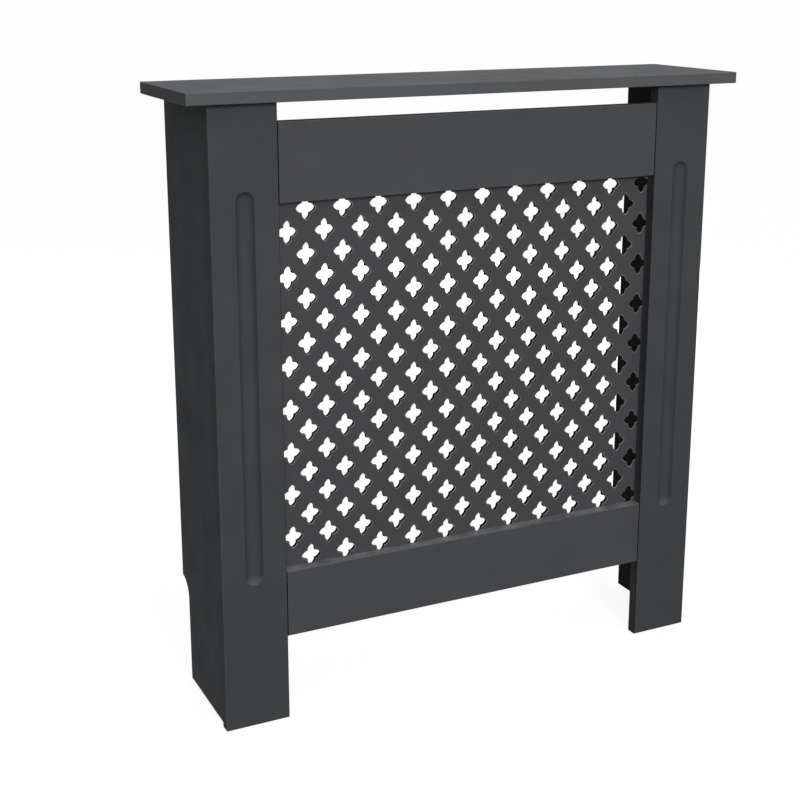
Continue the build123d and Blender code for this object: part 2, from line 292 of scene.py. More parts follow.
def make_paint(name, thick, thin, roughness, wear_highlight_amount, wear_highlight_tone=PAINT_WEAR_HIGHLIGHT):
    """A sprayed paint with its own tones, roughness and wear, with a painted highlight on marked
    arrises and painted shade on marked faces.
    """
    paint, tree, shader, coordinates = start_finish(name, Specular_IOR_Level=0.03)
    skin = use_group(tree, spray_skin, Coordinates=coordinates)
    wear_highlight_mask = use_group(tree, arris_wear_and_highlight, Coordinates=coordinates,
                       Arris=read_mark(tree, "arris"), Amount=wear_highlight_amount)["Mask"]
    coat = mix_colours(tree, spread_drift(tree, skin["Drift"]), thick, thin)
    # The pale tone where the arris mark is set: partly wear, partly painted highlight.
    wear_highlight_colour = mix_colours(tree, wear_highlight_mask, coat, wear_highlight_tone)
    # Faces marked for painted shade go near black.
    tone = mix_colours(tree, read_mark(tree, "painted_shade"), wear_highlight_colour, SHADE_BLACK)
    tree.links.new(tone, shader.inputs["Base Color"])
    gloss = spread_drift(tree, skin["Drift"], To_Min=roughness + GLOSS_SWING,
                         To_Max=roughness - GLOSS_SWING)
    gloss = calc(tree, "MULTIPLY_ADD", wear_highlight_mask, PAINT_POLISH, gloss)
    tree.links.new(gloss, shader.inputs["Roughness"])
    raise_surface(tree, shader, skin["Height"], distance=0.06 * MM, strength=0.6)
    return paint


rail_paint = make_paint("painted_rail", srgb(75, 76, 79), srgb(79, 80, 83),
                        roughness=0.62, wear_highlight_amount=0.45)
leg_paint = make_paint("painted_leg", srgb(68, 70, 72), srgb(72, 74, 76),
                       roughness=0.62, wear_highlight_amount=0.3)
top_paint = make_paint("painted_top", srgb(86, 88, 90), srgb(90, 92, 94),
                       roughness=0.6, wear_highlight_amount=0.4)
panel_paint = make_paint("painted_panel", srgb(73, 73, 76), srgb(77, 77, 80),
                         roughness=0.66, wear_highlight_amount=1.0, wear_highlight_tone=RIM_HIGHLIGHT)

# %% [markdown]
# **Bare fibreboard** shows only on the loose tongues inside the joints, and **beech** on
# the dowels. They are hidden in the closed cabinet, and are finished all the same.

# %% Finishes: bare fibreboard and beech
bare_board, tree, shader, coordinates = start_finish("bare_fibreboard", Roughness=0.85,
                                                     Specular_IOR_Level=0.3)
felt = use_group(tree, pressed_fibre, Coordinates=coordinates)["Tone"]
tone = mix_colours(tree, felt, srgb(126, 96, 66), srgb(196, 160, 118))
tree.links.new(tone, shader.inputs["Base Color"])
raise_surface(tree, shader, felt, distance=0.2 * MM, strength=0.5)

beech, tree, shader, coordinates = start_finish("beech", Roughness=0.55)
# The grain runs up the dowel, so the noise is stretched along Z.
along = put(tree, "ShaderNodeMapping", Vector=coordinates, Scale=(1.0, 1.0, 0.12))
figure = put(tree, "ShaderNodeTexNoise", Vector=along.outputs["Vector"], Scale=420.0,
             Detail=4.0, Roughness=0.6).outputs["Fac"]
tone = mix_colours(tree, figure, srgb(178, 132, 88), srgb(226, 188, 142))
tree.links.new(tone, shader.inputs["Base Color"])
raise_surface(tree, shader, figure, distance=0.1 * MM, strength=0.6)

# %% [markdown]
# **The metals.** The cams are die-cast zinc: grey, a little grainy, polished where the
# screwdriver rides. Bolts, brackets and screws are zinc plated, a brighter skin with a
# slow cloudiness. The staples are drawn wire. One function makes all three, from how
# bright, how rough and how grainy each is.

# %% Finishes: cast zinc, zinc plate and wire
CLOUD_SIZE = 12 * MM
METAL_PATCH = 4 * MM
METAL_WEAR = 0.8
METAL_POLISH = -0.14  # of the roughness, where it is bright


def make_metal(name, dull, bright, roughness, grain_size, grain_depth):
    """A metal with its own tones, roughness and grain."""
    metal, tree, shader, coordinates = start_finish(name, Metallic=1.0)
    skin = use_group(tree, spray_skin, Coordinates=coordinates, Ripple_Size=grain_size,
                     Drift_Size=CLOUD_SIZE)
    wear_highlight_mask = use_group(tree, arris_wear_and_highlight, Coordinates=coordinates,
                       Arris=read_mark(tree, "arris"), Patch_Size=METAL_PATCH,
                       Amount=METAL_WEAR)["Mask"]
    polish = calc(tree, "MAXIMUM", spread_drift(tree, skin["Drift"]), wear_highlight_mask)
    tree.links.new(mix_colours(tree, polish, dull, bright), shader.inputs["Base Color"])
    gloss = calc(tree, "MULTIPLY_ADD", polish, METAL_POLISH, roughness)
    tree.links.new(gloss, shader.inputs["Roughness"])
    raise_surface(tree, shader, skin["Height"], distance=grain_depth, strength=0.5)
    return metal


cast_zinc = make_metal("cast_zinc", srgb(136, 137, 140), srgb(168, 169, 171),
                       roughness=0.5, grain_size=0.5 * MM, grain_depth=0.05 * MM)
zinc_plate = make_metal("zinc_plate", srgb(150, 153, 158), srgb(180, 183, 186),
                        roughness=0.5, grain_size=0.9 * MM, grain_depth=0.02 * MM)
wire_steel = make_metal("drawn_wire", srgb(142, 143, 146), srgb(188, 189, 190),
                        roughness=0.4, grain_size=0.6 * MM, grain_depth=0.02 * MM)

# %% [markdown]
# ## Easing the boards
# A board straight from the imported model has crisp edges. On the real one they are
# broken with sandpaper, and the paint rounds them further, which is what draws the fine
# light line along each edge. So every painted board is dressed: a copy of the packed
# mesh has its doubled points merged, its flat triangles joined, and the edges that
# the painter can reach rounded by a bevel. The flute's rim is one of those edges.
# Weighted normals then keep the broad faces flat in the light.

# %% Helpers for dressed pieces
SMOOTH_BELOW = math.radians(32)
SHARP_ABOVE = 0.3  # radians between the two faces of an edge
FLAT_WITHIN = 0.01  # radians between two triangles of one flat face


def finish_piece(name, shape, material, node, body="carcass"):
    """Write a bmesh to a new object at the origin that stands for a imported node."""
    mesh = bpy.data.meshes.new(name)
    shape.to_mesh(mesh)
    shape.free()
    mesh.materials.append(material)
    mesh.shade_smooth()
    mesh.set_sharp_from_angle(angle=SMOOTH_BELOW)
    piece = bpy.data.objects.new(name, mesh)
    bpy.context.scene.collection.objects.link(piece)
    weighted = piece.modifiers.new("weighted", "WEIGHTED_NORMAL")
    weighted.keep_sharp = True
    weighted.weight = 100
    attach(piece, body)
    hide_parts(node)


def merged_copy(node):
    """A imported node's mesh, with doubled points merged and flat triangles joined."""
    shape = bmesh.new()
    shape.from_mesh(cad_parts[node].data)
    bmesh.ops.remove_doubles(shape, verts=shape.verts, dist=2e-6)
    bmesh.ops.dissolve_limit(shape, angle_limit=FLAT_WITHIN, verts=shape.verts,
                             edges=shape.edges)
    return shape


def ease_edges(shape, reached, width, rounds):
    """Round the sharp edges that a rule reaches, and mark the new facets as arrises."""
    arris = shape.faces.layers.float.new("arris")
    sharp = [edge for edge in shape.edges if len(edge.link_faces) == 2
             and edge.calc_face_angle() > SHARP_ABOVE and reached(edge)]
    made = bmesh.ops.bevel(shape, geom=sharp, offset=width, offset_type="OFFSET",
                           segments=rounds, profile=0.5, affect="EDGES", clamp_overlap=True)
    for face in made["faces"]:
        face[arris] = 1.0
    return len(sharp)


# %% [markdown]
# Which edges the sandpaper reaches differs from board to board. On the top and the rails
# it is the outer border, and not the blind holes and grooves of the joints. On a side it
# is the border and, low down, the outline of the cut-out for the skirting board. On a leg
# it is the border and every edge in the front face, which takes in the flute's rim.

# %% Rules for the edges that are eased
ON_PLANE = 0.3 * MM
BORDER_BAND = 1.0 * MM
NOTCH_TOP = 151 * MM  # above the cut-out, only a side panel's own border is eased


def middle(edge):
    return (edge.verts[0].co + edge.verts[1].co) / 2


def near(value, target):
    return abs(value - target) < ON_PLANE


def outline_rule(node):
    """A rule that says whether the sandpaper reaches an edge of this board."""
    low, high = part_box(node)

    def outer(edge):
        place = middle(edge)
        at_borders = sum(
            place[axis] < low[axis] + BORDER_BAND or place[axis] > high[axis] - BORDER_BAND
            for axis in range(3))
        return at_borders >= 2

    def side_outline(edge):
        place = middle(edge)
        on_face = near(place.x, low.x) or near(place.x, high.x)
        return on_face and place.z < NOTCH_TOP or outer(edge)

    def leg_front(edge):
        return outer(edge) or middle(edge).y < low.y + ON_PLANE

    if "side_panel" in node:
        return side_outline
    return leg_front if "leg_board" in node else outer


# %% [markdown]
# Once a board is eased, its faces are marked for painted shade and painted highlight. The
# facing edges in the joints between rails and legs and the inside of the sides are painted
# near black, as painted shade. In a flute the walls get more painted shade the steeper
# they are, and the upper scoop, which faces down, too. Two places get a pale painted
# highlight: the ledge on top of the lower rail, and the lower scoop of each flute, where
# the wall faces upwards.

# %% Mark the faces for painted shade and painted highlight
LEANING = 0.3  # this much of a face's normal, or more, points a given way
SQUARE = 0.9
# How dark the inside face of a side is painted: painted shade.
INSIDE_SHADE = 0.9
# Painted highlight on the upward ledge of the lower rail.
LEDGE_HIGHLIGHT = 2.5
# Painted highlight on the lower scoop of a flute, by how far it faces up.
SCOOP_HIGHLIGHT = 1.5
FLUTE_HALF = 12.5 * MM
FLUTE_FLAT = 0.35  # the wall darkens where it is steeper than this
# How much painted shade a flute's wall gets, by its steepness.
FLUTE_SHADE = 0.6


def mark_paint(node, shape):
    """Mark the faces that get painted shade, and those that get a painted highlight."""
    painted_shade = shape.faces.layers.float.new("painted_shade")
    arris = shape.faces.layers.float["arris"]
    low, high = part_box(node)
    inward = -1.0 if low.x > 0 else 1.0
    for face in shape.faces:
        facing = face.normal
        off_middle = abs(face.calc_center_median().x - (low.x + high.x) / 2)
        # Painted shade: a rail's slanted end facets, in its joint with a leg, go near black.
        if "rail" in node and abs(facing.x) > LEANING and abs(facing.y) > LEANING:
            face[painted_shade] = 1.0
        # Painted highlight on the upward ledge of the lower rail.
        if node == "lower_rail" and facing.z > SQUARE:
            face[arris] = LEDGE_HIGHLIGHT
        # Painted shade on the inside face of a side.
        if "side_panel" in node and facing.x * inward > SQUARE:
            face[painted_shade] = INSIDE_SHADE
        if "leg_board" in node and facing.y < -LEANING:
            if off_middle < FLUTE_HALF:
                # Painted shade on the steep and downward flute walls, painted highlight on the
                # upward lower scoop.
                steep = math.hypot(facing.x, min(facing.z, 0.0))
                face[painted_shade] = max(0.0, steep - FLUTE_FLAT) * FLUTE_SHADE
                face[arris] = max(0.0, facing.z) * SCOOP_HIGHLIGHT
            # Painted shade: the leg's facets that face the rail, in the joint, go near black.
            elif facing.x * inward > LEANING:
                face[painted_shade] = 1.0


# %% Dress the painted boards
BOARD_EASE = 0.35 * MM
BOARD_PAINTS = {
    "top_panel": top_paint,
    "left_side_panel": leg_paint,
    "right_side_panel": leg_paint,
    "left_leg_board": leg_paint,
    "right_leg_board": leg_paint,
    "upper_rail": rail_paint,
    "lower_rail": rail_paint,
}
for node, paint in BOARD_PAINTS.items():
    shape = merged_copy(node)
    eased = ease_edges(shape, outline_rule(node), BOARD_EASE, rounds=2)
    mark_paint(node, shape)
    finish_piece(f"{node}_eased", shape, paint, node)
    print(f"{node}: {eased} edges eased")

# %% [markdown]
# ## The pierced panel
# The panel is cut on a router table or with a press tool: rows of four-lobed holes, each
# row set half a step along, so that the holes stand in diagonal lines. A lobe is a
# pointed arch: its sides swell a little, then close on a blunt tip, and between two
# lobes a small square corner of board is left. The hole repeats by rule, so it is drawn
# once, from one quarter, and Geometry Nodes places it, cuts the sheet and builds its
# walls. Every size is a named input of the tree.

# %% Sizes of the piercing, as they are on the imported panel
panel_low, panel_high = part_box("lattice_panel")
COLUMN_PITCH = 24.8 * MM
ROW_PITCH = 28.5 * MM
COLUMNS = 22
ROWS = 17
PATTERN_SHIFT = 3.0 * MM
HOLE_WIDTH = 26.0 * MM
HOLE_HEIGHT = 29.0 * MM

# %% The arrises of a hole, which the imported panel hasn't
PANEL_ARRIS = 0.7 * MM  # at the front
BACK_ARRIS = 0.2 * MM

# %% [markdown]
# Four more helpers serve the geometry trees. One makes a vector, one joins pieces, one
# sets a copy of a piece at each of some points, turned about Y by the point's own angle,
# and one ends a tree: it makes the copies real, because the export drops instances, and
# gives them their material.

# %% Helpers for geometry trees
def vector_of(tree, x=0.0, y=0.0, z=0.0):
    """A vector from three sockets or numbers."""
    return put(tree, "ShaderNodeCombineXYZ", X=x, Y=y, Z=z).outputs["Vector"]


def join(tree, *pieces):
    """Several pieces of geometry as one."""
    node = put(tree, "GeometryNodeJoinGeometry")
    for piece in pieces:
        tree.links.new(piece, node.inputs["Geometry"])
    return node.outputs["Geometry"]


def copies_at(tree, places, piece):
    """A copy of a piece at each place, turned by the place's own angle."""
    turn = put(tree, "GeometryNodeInputNamedAttribute", {"data_type": "FLOAT"}, Name="turn")
    return put(tree, "GeometryNodeInstanceOnPoints", Points=places, Instance=piece,
               Rotation=vector_of(tree, y=turn.outputs["Attribute"])).outputs["Instances"]


def end_tree(tree, leave, geometry, finish):
    """Make the copies real, give them their material and send them out."""
    real = put(tree, "GeometryNodeRealizeInstances", Geometry=geometry).outputs["Geometry"]
    finished = put(tree, "GeometryNodeSetMaterial", Geometry=real, Material=finish)
    tree.links.new(finished.outputs["Geometry"], leave.inputs["Geometry"])


# %% Build the tree: one hole
LOBE_STEPS = 7

pierced, entry, leave = start_group(
    "pierced_panel",
    [("Width", "NodeSocketFloat", 0.5), ("Height", "NodeSocketFloat", 0.5),
     ("Thickness", "NodeSocketFloat", 0.006), ("Arris", "NodeSocketFloat", 0.0007),
     ("Back Arris", "NodeSocketFloat", 0.0002),
     ("Column Pitch", "NodeSocketFloat", 0.025), ("Row Pitch", "NodeSocketFloat", 0.028),
     ("Columns", "NodeSocketInt", 22), ("Rows", "NodeSocketInt", 17),
     ("Shift", "NodeSocketFloat", 0.003), ("Hole Width", "NodeSocketFloat", 0.026),
     ("Hole Height", "NodeSocketFloat", 0.029), ("Waist Across", "NodeSocketFloat", 0.385),
     ("Waist Up", "NodeSocketFloat", 0.405), ("Finish", "NodeSocketMaterial", None)],
    [("Geometry", "NodeSocketGeometry")], "GeometryNodeTree")
half_wide = calc(pierced, "MULTIPLY", entry["Hole Width"], 0.5)
half_high = calc(pierced, "MULTIPLY", entry["Hole Height"], 0.5)


def in_hole(across, up):
    """A point of the outline, from shares of the hole's half width and half height."""
    return vector_of(pierced, calc(pierced, "MULTIPLY", half_wide, across),
                     calc(pierced, "MULTIPLY", half_high, up))


def lobe_side(start, start_handle, end_handle, end):
    """One side of a lobe, between its tip and the waist."""
    return put(pierced, "GeometryNodeCurvePrimitiveBezierSegment", Resolution=LOBE_STEPS,
               Start=start, Start_Handle=start_handle, End_Handle=end_handle,
               End=end).outputs["Curve"]


# One quarter of the outline: from the right-hand tip in to the waist, and from the
# waist out to the upper tip. The handles swell the sides and blunt the tips.
waist = in_hole(entry["Waist Across"], entry["Waist Up"])
right_lobe = lobe_side(in_hole(1.0, 0.0), in_hole(0.88, 0.24), in_hole(0.62, 0.43), waist)
upper_lobe = lobe_side(waist, in_hole(0.45, 0.6), in_hole(0.3, 0.86), in_hole(0.0, 1.0))
outline = put(pierced, "GeometryNodeCurveToMesh",
              Curve=join(pierced, upper_lobe, right_lobe)).outputs["Mesh"]
for flip in ((-1.0, 1.0, 1.0), (1.0, -1.0, 1.0)):
    mirrored = put(pierced, "GeometryNodeTransform", Geometry=outline, Scale=flip)
    outline = join(pierced, mirrored.outputs["Geometry"], outline)
ring = put(pierced, "GeometryNodeMergeByDistance", Geometry=outline,
           Distance=1e-6).outputs["Geometry"]

# %% Build the tree: the wall of a hole, with an eased edge at each face
position = put(pierced, "GeometryNodeInputPosition").outputs["Position"]
here = put(pierced, "ShaderNodeSeparateXYZ", Vector=position).outputs


def growth_for(arris):
    """How much a ring grows to make an arris of this width."""
    return calc(pierced, "ADD", 1.0, calc(pierced, "DIVIDE", arris, half_wide))


def grow(geometry, growth, selection=True):
    """Scale a ring about the middle of its hole."""
    place = vector_of(pierced, calc(pierced, "MULTIPLY", here["X"], growth),
                      calc(pierced, "MULTIPLY", here["Y"], growth), here["Z"])
    return put(pierced, "GeometryNodeSetPosition", Geometry=geometry, Selection=selection,
               Position=place).outputs["Geometry"]


def down(depth):
    """A step from the front of the panel towards its back."""
    return vector_of(pierced, z=calc(pierced, "MULTIPLY", depth, -1.0))


front_growth = growth_for(entry["Arris"])
back_growth = growth_for(entry["Back Arris"])
# The front arris is rubbed wider across the face than it is deep.
arris_depth = calc(pierced, "MULTIPLY", entry["Arris"], 0.5)
straight = calc(pierced, "SUBTRACT", calc(pierced, "SUBTRACT", entry["Thickness"], arris_depth),
                entry["Back Arris"])
mouth = grow(ring, front_growth)
wall = mouth
lowest = True
# Each step goes down by its depth, marks its faces, and then scales its end. The straight
# part of each hole's wall is marked for painted shade, near black, and the arris facets
# for the pale rim tone, a painted highlight.
for depth, mark, growth in (
        (arris_depth, "arris", calc(pierced, "DIVIDE", 1.0, front_growth)),
        (straight, "painted_shade", 1.0),
        (entry["Back Arris"], "arris", back_growth)):
    step = put(pierced, "GeometryNodeExtrudeMesh", {"mode": "EDGES"}, Mesh=wall,
               Selection=lowest, Offset=down(depth), Offset_Scale=1.0)
    lowest = step.outputs["Top"]
    marked = put(pierced, "GeometryNodeStoreNamedAttribute",
                 {"data_type": "FLOAT", "domain": "FACE"}, Geometry=step.outputs["Mesh"],
                 Selection=step.outputs["Side"], Name=mark, Value=1.0)
    wall = grow(marked.outputs["Geometry"], growth, lowest)

# %% Build the tree: every other station of a grid gets a hole
stations = put(pierced, "GeometryNodeMeshGrid",
               Size_X=calc(pierced, "MULTIPLY", calc(pierced, "SUBTRACT", entry["Columns"], 1.0),
                           entry["Column Pitch"]),
               Size_Y=calc(pierced, "MULTIPLY", calc(pierced, "SUBTRACT", entry["Rows"], 1.0),
                           entry["Row Pitch"]),
               Vertices_X=entry["Columns"], Vertices_Y=entry["Rows"])
shifted = put(pierced, "GeometryNodeTransform", Geometry=stations.outputs["Mesh"],
              Translation=vector_of(pierced, x=entry["Shift"]))
index = put(pierced, "GeometryNodeInputIndex").outputs["Index"]
# The half keeps the division clear of whole numbers, where rounding could go either way.
past_index = calc(pierced, "ADD", index, 0.5)
column = calc(pierced, "FLOOR", calc(pierced, "DIVIDE", past_index, entry["Rows"]))
row = calc(pierced, "SUBTRACT", index, calc(pierced, "MULTIPLY", column, entry["Rows"]))
odd = calc(pierced, "MODULO", calc(pierced, "ADD", column, row), 2.0)
chosen = calc(pierced, "GREATER_THAN", odd, 0.5)


def at_stations(geometry):
    """A real copy of a piece at every chosen station."""
    placed = put(pierced, "GeometryNodeInstanceOnPoints", Points=shifted.outputs["Geometry"],
                 Selection=chosen, Instance=geometry)
    return put(pierced, "GeometryNodeRealizeInstances",
               Geometry=placed.outputs["Instances"]).outputs["Geometry"]


# %% Build the tree: cut the two faces, add the walls and join it all
border = put(pierced, "GeometryNodeCurvePrimitiveQuadrilateral", Width=entry["Width"],
             Height=entry["Height"]).outputs["Curve"]


def cut_sheet(outline):
    """A flat sheet inside the border, cut along the outline of every hole."""
    closed = put(pierced, "GeometryNodeMeshToCurve", Mesh=outline).outputs["Curve"]
    return put(pierced, "GeometryNodeFillCurve", {"mode": "TRIANGLES"},
               Curve=join(pierced, at_stations(closed), border)).outputs["Mesh"]


back_drop = down(entry["Thickness"])
back_sheet = put(pierced, "GeometryNodeTransform", Geometry=cut_sheet(grow(ring, back_growth)),
                 Translation=back_drop)
back_face = put(pierced, "GeometryNodeFlipFaces", Mesh=back_sheet.outputs["Geometry"])
front_face = cut_sheet(mouth)
border_line = put(pierced, "GeometryNodeCurveToMesh", Curve=border).outputs["Mesh"]
rim = put(pierced, "GeometryNodeExtrudeMesh", {"mode": "EDGES"}, Mesh=border_line,
          Offset=back_drop, Offset_Scale=1.0)
whole = join(pierced, rim.outputs["Mesh"], back_face.outputs["Mesh"], front_face,
             at_stations(wall))
welded = put(pierced, "GeometryNodeMergeByDistance", Geometry=whole, Distance=2e-6)
end_tree(pierced, leave, welded.outputs["Geometry"], entry["Finish"])

# %% [markdown]
# A tree does nothing until a modifier runs it. This helper puts it on a carrier object,
# sets its inputs by their identifiers, and keeps only the plain mesh that comes out. The
# mesh is then turned into place, and its normals are recalculated, because extruded
# edges don't know which side of them is the inside of the board.

# %% Helper: run a geometry tree and keep its mesh
def run_tree(tree, place=None, points=None, **inputs):
    """Evaluate a geometry tree on a carrier of points and return a merged bmesh."""
    carrier = bpy.data.objects.new("carrier", points or bpy.data.meshes.new("carrier"))
    bpy.context.scene.collection.objects.link(carrier)
    modifier = carrier.modifiers.new("tree", "NODES")
    modifier.node_group = tree
    sockets = {item.name: item.identifier for item in tree.interface.items_tree
               if item.item_type == "SOCKET" and item.in_out == "INPUT"}
    for key, value in inputs.items():
        modifier[sockets[key.replace("_", " ")]] = value
    bpy.context.view_layer.update()
    depsgraph = bpy.context.evaluated_depsgraph_get()
    evaluated = carrier.evaluated_get(depsgraph)
    mesh = bpy.data.meshes.new_from_object(evaluated, depsgraph=depsgraph)
    carrier.modifiers.remove(modifier)
    bpy.data.objects.remove(carrier)
    mesh.transform(place or Matrix.Identity(4))
    shape = bmesh.new()
    shape.from_mesh(mesh)
    bmesh.ops.remove_doubles(shape, verts=shape.verts, dist=1e-6)
    bmesh.ops.recalc_face_normals(shape, faces=shape.faces)
    return shape


# %% Pierce the panel
panel_middle = (panel_low + panel_high) / 2
panel_size = panel_high - panel_low
# The tree draws in its own XY plane, seen from +Z: turn that to face the front.
face_front = Matrix.Rotation(math.pi / 2, 4, "X")
stand_up = Matrix.Translation((panel_middle.x, panel_low.y, panel_middle.z)) @ face_front
panel = run_tree(pierced, stand_up, Width=panel_size.x, Height=panel_size.z,
                 Thickness=panel_size.y, Arris=PANEL_ARRIS, Back_Arris=BACK_ARRIS,
                 Column_Pitch=COLUMN_PITCH, Row_Pitch=ROW_PITCH, Columns=COLUMNS, Rows=ROWS,
                 Shift=PATTERN_SHIFT, Hole_Width=HOLE_WIDTH, Hole_Height=HOLE_HEIGHT,
                 Finish=panel_paint)
loose_edges = sum(len(edge.link_faces) != 2 for edge in panel.edges)
print(f"pierced panel: {len(panel.faces)} faces, {loose_edges} open edges")
finish_piece("pierced_panel", panel, panel_paint, "lattice_panel")

# %% [markdown]
# ## The staples behind the panel
# The pierced panel is held from behind by wire staples, shot through it into the rails
# and legs. All that shows is the crown: ten millimetres of flattened wire, bent over at
# both ends. One staple is bent from a path and a section, and a tree repeats it at each
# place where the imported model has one, turned the way that one lies.

# %% Helpers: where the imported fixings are, and points that carry an angle
def loose_boxes(node):
    """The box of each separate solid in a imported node."""
    shape = merged_copy(node)
    waiting = set(shape.verts)
    boxes = []
    while waiting:
        front = [waiting.pop()]
        places = []
        while front:
            vertex = front.pop()
            places.append(vertex.co.copy())
            for edge in vertex.link_edges:
                other = edge.other_vert(vertex)
                if other in waiting:
                    waiting.remove(other)
                    front.append(other)
        low = Vector([min(place[axis] for place in places) for axis in range(3)])
        high = Vector([max(place[axis] for place in places) for axis in range(3)])
        boxes.append((low, high))
    shape.free()
    return sorted(boxes, key=lambda box: tuple(round(value, 5) for value in box[0]))


def turned_points(name, places, angles):
    """A mesh of points, each with the angle that its copy is turned by."""
    points = bpy.data.meshes.new(name)
    points.from_pydata(places, [], [])
    turns = points.attributes.new("turn", "FLOAT", "POINT")
    for row, angle in enumerate(angles):
        turns.data[row].value = angle
    return points


# %% Build the tree: a staple, and its copies
CORNER_SHARE = 0.7  # of the wire's half thickness, rounded at each corner of its section

stapled, entry, leave = start_group(
    "staples",
    [("Places", "NodeSocketGeometry", None), ("Crown", "NodeSocketFloat", 0.01),
     ("Leg", "NodeSocketFloat", 0.012), ("Wire Width", "NodeSocketFloat", 0.0012),
     ("Wire Thickness", "NodeSocketFloat", 0.0007), ("Bend", "NodeSocketFloat", 0.0009),
     ("Finish", "NodeSocketMaterial", None)],
    [("Geometry", "NodeSocketGeometry")], "GeometryNodeTree")
half_thick = calc(stapled, "MULTIPLY", entry["Wire Thickness"], 0.5)
crown_end = calc(stapled, "MULTIPLY", entry["Crown"], 0.5)
right_x = calc(stapled, "SUBTRACT", crown_end, half_thick)
left_x = calc(stapled, "MULTIPLY", right_x, -1.0)
leg_end = calc(stapled, "MULTIPLY", entry["Leg"], -1.0)
corners = [(left_x, leg_end), (left_x, half_thick), (right_x, half_thick), (right_x, leg_end)]
runs = [put(stapled, "GeometryNodeCurvePrimitiveLine", Start=vector_of(stapled, *start),
            End=vector_of(stapled, *end)).outputs["Curve"]
        for start, end in zip(corners, corners[1:])]
path = put(stapled, "GeometryNodeCurveToMesh", Curve=join(stapled, *runs)).outputs["Mesh"]
welded = put(stapled, "GeometryNodeMergeByDistance", Geometry=path, Distance=1e-7)
one_line = put(stapled, "GeometryNodeMeshToCurve", Mesh=welded.outputs["Geometry"])
bent = put(stapled, "GeometryNodeFilletCurve", {"mode": "POLY"}, Radius=entry["Bend"], Count=5,
           Curve=one_line.outputs["Curve"])
# The wire is flattened: a rounded oblong section, wider than it is thick.
oblong = put(stapled, "GeometryNodeCurvePrimitiveQuadrilateral", Width=entry["Wire Thickness"],
             Height=entry["Wire Width"])
section = put(stapled, "GeometryNodeFilletCurve", {"mode": "POLY"}, Count=3,
              Curve=oblong.outputs["Curve"],
              Radius=calc(stapled, "MULTIPLY", half_thick, CORNER_SHARE))
staple = put(stapled, "GeometryNodeCurveToMesh", Curve=bent.outputs["Curve"],
             Profile_Curve=section.outputs["Curve"], Fill_Caps=True).outputs["Mesh"]
end_tree(stapled, leave, copies_at(stapled, entry["Places"], staple), entry["Finish"])

# %% Shoot the staples
staple_boxes = loose_boxes("lattice_staples")
staple_places = [((low.x + high.x) / 2, panel_high.y, (low.z + high.z) / 2)
                 for low, high in staple_boxes]
staple_angles = [math.pi / 2 if high.z - low.z > high.x - low.x else 0.0
                 for low, high in staple_boxes]
staple_points = turned_points("staple_points", staple_places, staple_angles)
staples = run_tree(stapled, points=staple_points, Finish=wire_steel)
print(f"staples: {len(staple_boxes)}, {len(staples.faces)} faces")
finish_piece("wire_staples", staples, wire_steel, "lattice_staples")

# %% [markdown]
# ## The screws in the brackets
# Each bracket is held to its side panel by a pan-head screw with a cross recess. A tree
# turns the head from its profile and sinks the recess into it. The places come from the
# packed screws, and an attribute turns each copy to face away from its panel.

# %% Build the tree: the head of a pan-head screw
HEAD_RINGS = 13  # from the middle of the crown to its rim
HEAD_STEPS = 48  # around it
SHANK_STEPS = 24
CROWN_POWER = 2.6  # 2 makes a round crown, and more makes a flatter one

screwed, entry, leave = start_group(
    "pan_head_screws",
    [("Places", "NodeSocketGeometry", None), ("Head Radius", "NodeSocketFloat", 0.0038),
     ("Head Height", "NodeSocketFloat", 0.002), ("Shank Radius", "NodeSocketFloat", 0.002),
     ("Grip", "NodeSocketFloat", 0.011), ("Recess", "NodeSocketFloat", 0.0011),
     ("Finish", "NodeSocketMaterial", None)],
    [("Geometry", "NodeSocketGeometry")], "GeometryNodeTree")
disc = put(screwed, "GeometryNodeMeshGrid", Size_X=1.0, Size_Y=2 * math.pi,
           Vertices_X=HEAD_RINGS, Vertices_Y=HEAD_STEPS + 1).outputs["Mesh"]
position = put(screwed, "GeometryNodeInputPosition").outputs["Position"]
flat = put(screwed, "ShaderNodeSeparateXYZ", Vector=position).outputs
run = calc(screwed, "ADD", flat["X"], 0.5)  # 0 at the middle of the crown, 1 at the rim
radius = calc(screwed, "MULTIPLY", run, entry["Head Radius"])
sine = calc(screwed, "SINE", flat["Y"])
cosine = calc(screwed, "COSINE", flat["Y"])
# The crown is nearly flat in the middle and steep at the rim.
fall = calc(screwed, "SUBTRACT", 1.0, calc(screwed, "POWER", run, CROWN_POWER))
dome = calc(screwed, "SQRT", calc(screwed, "MAXIMUM", fall, 0.0))
# The recess is a cross: sunk near either of two middle lines, and run out before the rim.
across = calc(screwed, "ABSOLUTE", calc(screwed, "MULTIPLY", run, sine))
along = calc(screwed, "ABSOLUTE", calc(screwed, "MULTIPLY", run, cosine))
in_arm = put(screwed, "ShaderNodeMapRange", Value=calc(screwed, "MINIMUM", across, along),
             From_Min=0.07, From_Max=0.13, To_Min=1.0, To_Max=0.0).outputs["Result"]
in_reach = put(screwed, "ShaderNodeMapRange", Value=run,
               From_Min=0.3, From_Max=0.62, To_Min=1.0, To_Max=0.0).outputs["Result"]
sunk = calc(screwed, "MULTIPLY", calc(screwed, "MULTIPLY", in_arm, in_reach), entry["Recess"])
level = calc(screwed, "SUBTRACT", sunk, calc(screwed, "MULTIPLY", dome, entry["Head Height"]))
on_head = vector_of(screwed, calc(screwed, "MULTIPLY", radius, cosine),
                    calc(screwed, "MULTIPLY", radius, sine), level)
head = put(screwed, "GeometryNodeSetPosition", Geometry=disc, Position=on_head)

